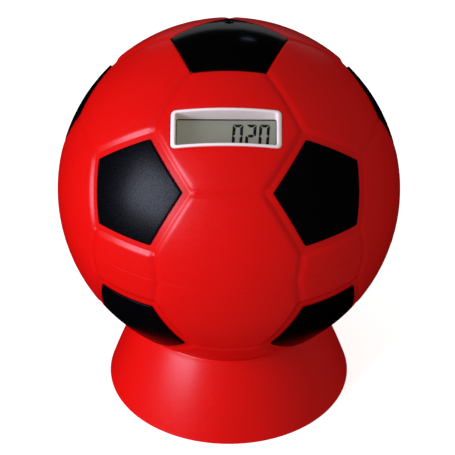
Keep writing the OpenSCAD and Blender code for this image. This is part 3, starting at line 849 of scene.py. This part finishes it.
# Red ABS button, satin
red_button = surface("red_button", "#c4231a", "#b82018", 0.35, 0.05, 0.5, 0.006, blotch=3)
dress(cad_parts["reset_button"], red_button)

# ---------------------------------------------------------------- coin chute and lever
# Under the slot a chute of natural acetal guides each coin past a sprung lever, whose bronze wiper
# brushes the sensor board. The lever turns on a steel pin.
# Unpigmented acetal: milky, waxy, faintly see-through at its edges
natural_pom = surface("natural_pom", "#e8e6da", "#e1dfd2", 0.4, 0.05, 0.9, 0.006)
pom_shader = natural_pom.node_tree.nodes["Principled BSDF"]
pom_shader.inputs["Subsurface Weight"].default_value = 0.2
pom_shader.inputs["Subsurface Scale"].default_value = 0.001
for node in ("coin_chute", "chute_cover", "coin_lever"):
    dress(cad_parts[node], natural_pom)
# Phosphor bronze strip, bare: reddish gold with drawn lines
spring_bronze = surface("spring_bronze", "#c08a4a", "#b27e42", 0.28, 0.06, 0.25, 0.003, 2, metallic=0.6)
dress(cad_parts["lever_wiper"], spring_bronze)

# ---------------------------------------------------------------- coin stopper
# Soft black PVC plug that is pushed into the hole in the ball's underside to keep the coins in.
# Plasticised PVC: dull black with a leathery moulding texture
stopper_pvc = surface("stopper_pvc", "#161617", "#1c1c1e", 0.6, 0.08, 0.9, 0.03)
dress(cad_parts["coin_stopper"], stopper_pvc)

# ---------------------------------------------------------------- screws
# Cross-head tapping screws of zinc-plated steel: five join the half shells from below, four hold
# the display stack, five hold the chute, and one holds the battery cover.
# Zinc plate: cool grey metal with a faint crystalline mottling
zinc_steel = surface("zinc_steel", "#b4b8bd", "#a4a9b0", 0.3, 0.08, 0.35, 0.004, blotch=2, metallic=0.6)
dress(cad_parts["lever_pin"], zinc_steel)


def screw_maker():
    """Node group that puts one cross-head tapping screw on every point, turned to its aim."""
    tree = bpy.data.node_groups.new("cross_head_screws", "GeometryNodeTree")
    sockets = tree.interface
    sockets.new_socket("Geometry", in_out="INPUT", socket_type="NodeSocketGeometry")
    for name in ("Head Radius", "Head Height", "Shank Radius", "Shank Length", "Thread Pitch"):
        sockets.new_socket(name, in_out="INPUT", socket_type="NodeSocketFloat")
    sockets.new_socket("Seed", in_out="INPUT", socket_type="NodeSocketInt")
    sockets.new_socket("Metal", in_out="INPUT", socket_type="NodeSocketMaterial")
    sockets.new_socket("Geometry", in_out="OUTPUT", socket_type="NodeSocketGeometry")
    given = add(tree, "NodeGroupInput").outputs

    # Lengths as shares of the named sizes
    shares = {
        "rim": ("Head Height", 0.55), "rim middle": ("Head Height", -0.275),
        "crown": ("Head Height", 0.45), "crown top": ("Head Radius", 0.7), "head top": ("Head Height", -1),
        "bar long": ("Head Radius", 1.15), "bar wide": ("Head Radius", 0.24),
        "bar deep": ("Head Height", 1.2),
        "core": ("Shank Radius", 0.8), "core middle": ("Shank Length", 0.498),
        "helix": ("Shank Radius", 0.84), "ridge": ("Shank Radius", 0.14),
        "wound": ("Shank Length", 0.9), "thread start": ("Shank Length", 0.05)}
    length = {}
    for word, (size, share) in shares.items():
        product = add(tree, "ShaderNodeMath", {"operation": "MULTIPLY"}, {1: share}, {0: given[size]})
        length[word] = product.outputs[0]

    # Pan head, a short cylinder with a cone frustum over it, and the shank's core
    rim = add(tree, "GeometryNodeMeshCylinder", inputs={"Vertices": 32},
              links={"Radius": given["Head Radius"], "Depth": length["rim"]})
    crown = add(tree, "GeometryNodeMeshCone", inputs={"Vertices": 32},
                links={"Radius Top": given["Head Radius"], "Radius Bottom": length["crown top"],
                       "Depth": length["crown"]})
    core = add(tree, "GeometryNodeMeshCylinder", inputs={"Vertices": 20},
               links={"Radius": length["core"], "Depth": given["Shank Length"]})
    # Cross recess: two crossed bars
    bars = []
    for along, across in ("XY", "YX"):
        size = add(tree, "ShaderNodeCombineXYZ", links={along: length["bar long"],
                   across: length["bar wide"], "Z": length["bar deep"]})
        bars.append(add(tree, "GeometryNodeMeshCube", links={"Size": size.outputs["Vector"]}))
    # Thread: a fine ridge wound up the shank
    turns = add(tree, "ShaderNodeMath", {"operation": "DIVIDE"}, {},
                {0: length["wound"], 1: given["Thread Pitch"]})
    helix = add(tree, "GeometryNodeCurveSpiral", inputs={"Resolution": 20},
                links={"Rotations": turns.outputs[0], "Start Radius": length["helix"],
                       "End Radius": length["helix"], "Height": length["wound"]})
    ridge = add(tree, "GeometryNodeCurvePrimitiveCircle", inputs={"Resolution": 4},
                links={"Radius": length["ridge"]})
    thread = add(tree, "GeometryNodeCurveToMesh", inputs={"Fill Caps": True},
                 links={"Curve": helix.outputs["Curve"], "Profile Curve": ridge.outputs["Curve"]})
    # Each goes to its height, the solids are joined, and the bars are cut out of them
    blank = add(tree, "GeometryNodeMeshBoolean", {"operation": "UNION"})
    cut = add(tree, "GeometryNodeMeshBoolean", {"operation": "DIFFERENCE"},
              links={"Mesh 1": blank.outputs["Mesh"]})
    screw = add(tree, "GeometryNodeJoinGeometry", links={"Geometry": cut.outputs["Mesh"]})
    for shape, height, joined_to in (
            (rim, "rim middle", blank.inputs["Mesh 2"]), (crown, "head top", blank.inputs["Mesh 2"]),
            (core, "core middle", blank.inputs["Mesh 2"]), (bars[0], "head top", cut.inputs["Mesh 2"]),
            (bars[1], "head top", cut.inputs["Mesh 2"]), (thread, "thread start", screw.inputs["Geometry"])):
        place = add(tree, "ShaderNodeCombineXYZ", links={"Z": length[height]})
        moved = add(tree, "GeometryNodeTransform", links={"Geometry": shape.outputs["Mesh"],
                    "Translation": place.outputs["Vector"]})
        tree.links.new(moved.outputs["Geometry"], joined_to)
    # One on every point, along its aim, each stopped at its own turn
    aim = add(tree, "GeometryNodeInputNamedAttribute", {"data_type": "FLOAT_VECTOR"}, {"Name": "aim"})
    turned = add(tree, "FunctionNodeAlignRotationToVector", {"axis": "Z"},
                 links={"Vector": aim.outputs["Attribute"]})
    stop = add(tree, "FunctionNodeRandomValue", {"data_type": "FLOAT"}, links={"Seed": given["Seed"]})
    angle = add(tree, "ShaderNodeMath", {"operation": "MULTIPLY"}, {1: math.tau}, {0: stop.outputs[1]})
    spin = add(tree, "ShaderNodeCombineXYZ", links={"Z": angle.outputs[0]})
    spun = add(tree, "FunctionNodeRotateRotation", {"rotation_space": "LOCAL"},
               links={"Rotation": turned.outputs["Rotation"], "Rotate By": spin.outputs["Vector"]})
    on_points = add(tree, "GeometryNodeInstanceOnPoints",
                    links={"Points": given["Geometry"], "Instance": screw.outputs["Geometry"],
                           "Rotation": spun.outputs["Rotation"]})
    plain = add(tree, "GeometryNodeRealizeInstances", links={"Geometry": on_points.outputs["Instances"]})
    metal = add(tree, "GeometryNodeSetMaterial",
                links={"Geometry": plain.outputs["Geometry"], "Material": given["Metal"]})
    add(tree, "NodeGroupOutput", links={"Geometry": metal.outputs["Geometry"]})
    return tree


screw_tree = screw_maker()


def screws(name, batches, body, replaced):
    """One mesh of screws. Each batch is seats, aims, head radius and height, shank radius and length."""
    joined = bmesh.new()
    for seats, aims, *sizes in batches:
        mesh = bpy.data.meshes.new(name)
        mesh.from_pydata([ball_centre + seat * mm for seat in seats], [], [])
        aim = mesh.attributes.new("aim", "FLOAT_VECTOR", "POINT")
        for i, direction in enumerate(aims):
            aim.data[i].vector = direction
        points = bpy.data.objects.new(name, mesh)
        bpy.context.collection.objects.link(points)
        maker = points.modifiers.new("screws", "NODES")
        maker.node_group = screw_tree
        words = ("Head Radius", "Head Height", "Shank Radius", "Shank Length")
        given = {word: size * mm for word, size in zip(words, sizes)}
        given |= {"Thread Pitch": 0.8 * mm, "Seed": 7, "Metal": zinc_steel}
        for item in screw_tree.interface.items_tree:
            if item.in_out == "INPUT" and item.name in given:
                maker[item.identifier] = given[item.name]
        bpy.context.view_layer.update()
        graph = bpy.context.evaluated_depsgraph_get()
        joined.from_mesh(bpy.data.meshes.new_from_object(points.evaluated_get(graph)))
        bpy.data.objects.remove(points)
    mesh = bpy.data.meshes.new(name)
    joined.to_mesh(mesh)
    joined.free()
    mesh.shade_smooth()
    mesh.set_sharp_from_angle(angle=math.radians(35))
    piece = bpy.data.objects.new(name, mesh)
    bpy.context.collection.objects.link(piece)
    dress(piece, zinc_steel)
    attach(piece, body)
    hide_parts(replaced)


up = Vector((0, 0, 1))
shell_seats = [screw_circle * towards(36 + 72 * k, 0) - 9 * up for k in range(5)]
screws("shell_screw_set", [(shell_seats, [up] * 5, 2.5, 1.8, 1.2, 19)], "ball", "shell_screws")
display_seats = [display @ Vector((x, y, 65.1)) for x in (-29.5, 29.5) for y in (-6.5, 6.5)]
display_aims = [towards(0, hex_latitude)] * 4
screws("display_screw_set", [(display_seats, display_aims, 2, 1.4, 1, 9)], "ball", "display_screws")
slot = facing(-144, hex_latitude)
into_chute = slot @ Vector((0, -1, 0))
cover_seats = [slot @ Vector((x, 3.3, 47)) for x in (-19.5, 19.5)]
board_seat = slot @ Vector((30.5, 2.9, 53.5))
ear_seats = [slot @ Vector((-21.5, -0.8, 70)), slot @ Vector((37.5, -0.8, 62))]
screws("chute_screw_set", [(cover_seats, [into_chute] * 2, 1.7, 1.2, 0.9, 3.9),
                           ([board_seat], [into_chute], 1.7, 1.2, 0.9, 3.4),
                           (ear_seats, [slot @ up] * 2, 2, 1.4, 1, 5.6)], "ball", "chute_screws")
lid_seat = Vector((0, well_y, well_floor + 0.05))
screws("cover_screw_set", [([lid_seat], [-up], well_r - 0.25, 1.6, 1.1, 8)], "cover_screw", "cover_screw")
